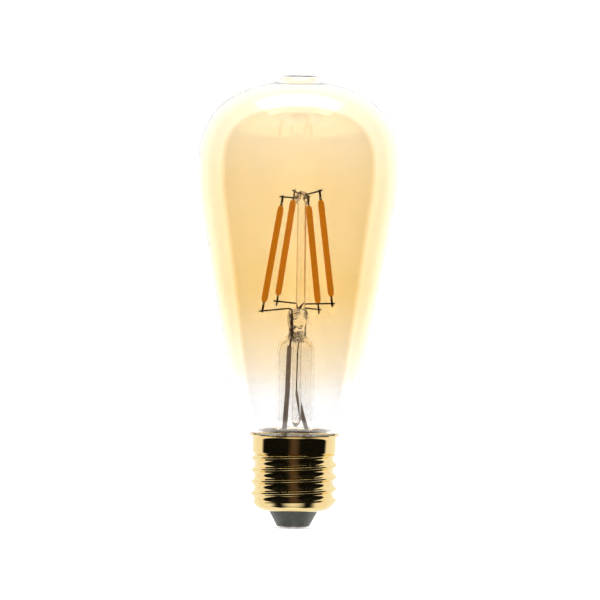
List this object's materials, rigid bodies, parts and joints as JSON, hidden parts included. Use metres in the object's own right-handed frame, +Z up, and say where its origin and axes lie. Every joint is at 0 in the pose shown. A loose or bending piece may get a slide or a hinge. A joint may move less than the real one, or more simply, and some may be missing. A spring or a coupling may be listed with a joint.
{
  "type": "smart light bulb",
  "caption": "Squirrel-cage LED filament lamp: amber glass on a screw cap, orange filaments on a glass stem, driver and radio module in the cap.",
  "frame": {"origin": "centre of the centre contact's face, on the lamp's axis", "axes": "+Z up the lamp's axis from the cap to the crown, +X to the viewer's right, front towards -Y"},
  "size_m": [0.0614, 0.0614, 0.1394],
  "materials": {
    "cap_metal": "polished rolled sheet",
    "contact_metal": "dull, soldered",
    "insulator": "moulded, semi-gloss black",
    "amber_glass": "clear glass with an amber tint that fades towards the neck",
    "lead_metal": "dull, oxidised",
    "cement": "rough, pale",
    "nickel_wire": "drawn wire",
    "woven_sleeve": "woven glass fibre, varnished",
    "clear_glass": "clear",
    "pin_metal": "plated",
    "board": "solder mask",
    "shield_metal": "tinned",
    "antenna_ceramic": "fired",
    "can_metal": "satin",
    "capacitor_skin": "shrunk film",
    "ferrite": "ground",
    "copper": "enamelled copper",
    "chip_plastic": "moulded epoxy",
    "leg_metal": "tinned",
    "resistor_coat": "lacquered",
    "glue": "silicone",
    "solder": "bright solder",
    "phosphor": "orange phosphor silicone, satin",
    "strip_ceramic": "fired",
    "led_chip": "sapphire chip"
  },
  "bodies": {
    "root": {"basing_cement": "cement", "board_glue": "glue", "bridge_legs": "leg_metal", "bridge_rectifier": "chip_plastic", "capacitor_can": "can_metal", "capacitor_skin": "capacitor_skin", "centre_contact": "contact_metal", "choke_core": "ferrite", "choke_winding": "copper", "driver_board": "board", "driver_chip": "chip_plastic", "driver_chip_legs": "leg_metal", "exhaust_tube": "clear_glass", "front_left_filament_chips": "led_chip", "front_left_filament_coating": "phosphor", "front_left_filament_strip": "strip_ceramic", "front_left_filament_tabs": "nickel_wire", "front_right_filament_chips": "led_chip", "front_right_filament_coating": "phosphor", "front_right_filament_strip": "strip_ceramic", "front_right_filament_tabs": "nickel_wire", "fuse_resistor": "resistor_coat", "fuse_resistor_wires": "leg_metal", "glass_envelope": "amber_glass", "insulator": "insulator", "lead_welds": "lead_metal", "left_inner_lead": "nickel_wire", "left_lead_wire": "lead_metal", "left_sleeve": "woven_sleeve", "left_upper_link": "nickel_wire", "live_wire": "leg_metal", "lower_link": "nickel_wire", "neutral_wire": "lead_metal", "radio_antenna": "antenna_ceramic", "radio_board": "board", "radio_pins": "pin_metal", "radio_shield": "shield_metal", "rear_left_filament_chips": "led_chip", "rear_left_filament_coating": "phosphor", "rear_left_filament_strip": "strip_ceramic", "rear_left_filament_tabs": "nickel_wire", "rear_right_filament_chips": "led_chip", "rear_right_filament_coating": "phosphor", "rear_right_filament_strip": "strip_ceramic", "rear_right_filament_tabs": "nickel_wire", "right_inner_lead": "nickel_wire", "right_lead_wire": "lead_metal", "right_sleeve": "woven_sleeve", "right_upper_link": "nickel_wire", "screw_shell": "cap_metal", "seal_wires": "lead_metal", "solder_joints": "solder", "stem_pinch": "clear_glass", "stem_tube": "clear_glass", "support_post": "clear_glass", "top_bead": "clear_glass"}
  },
  "joints": []
}
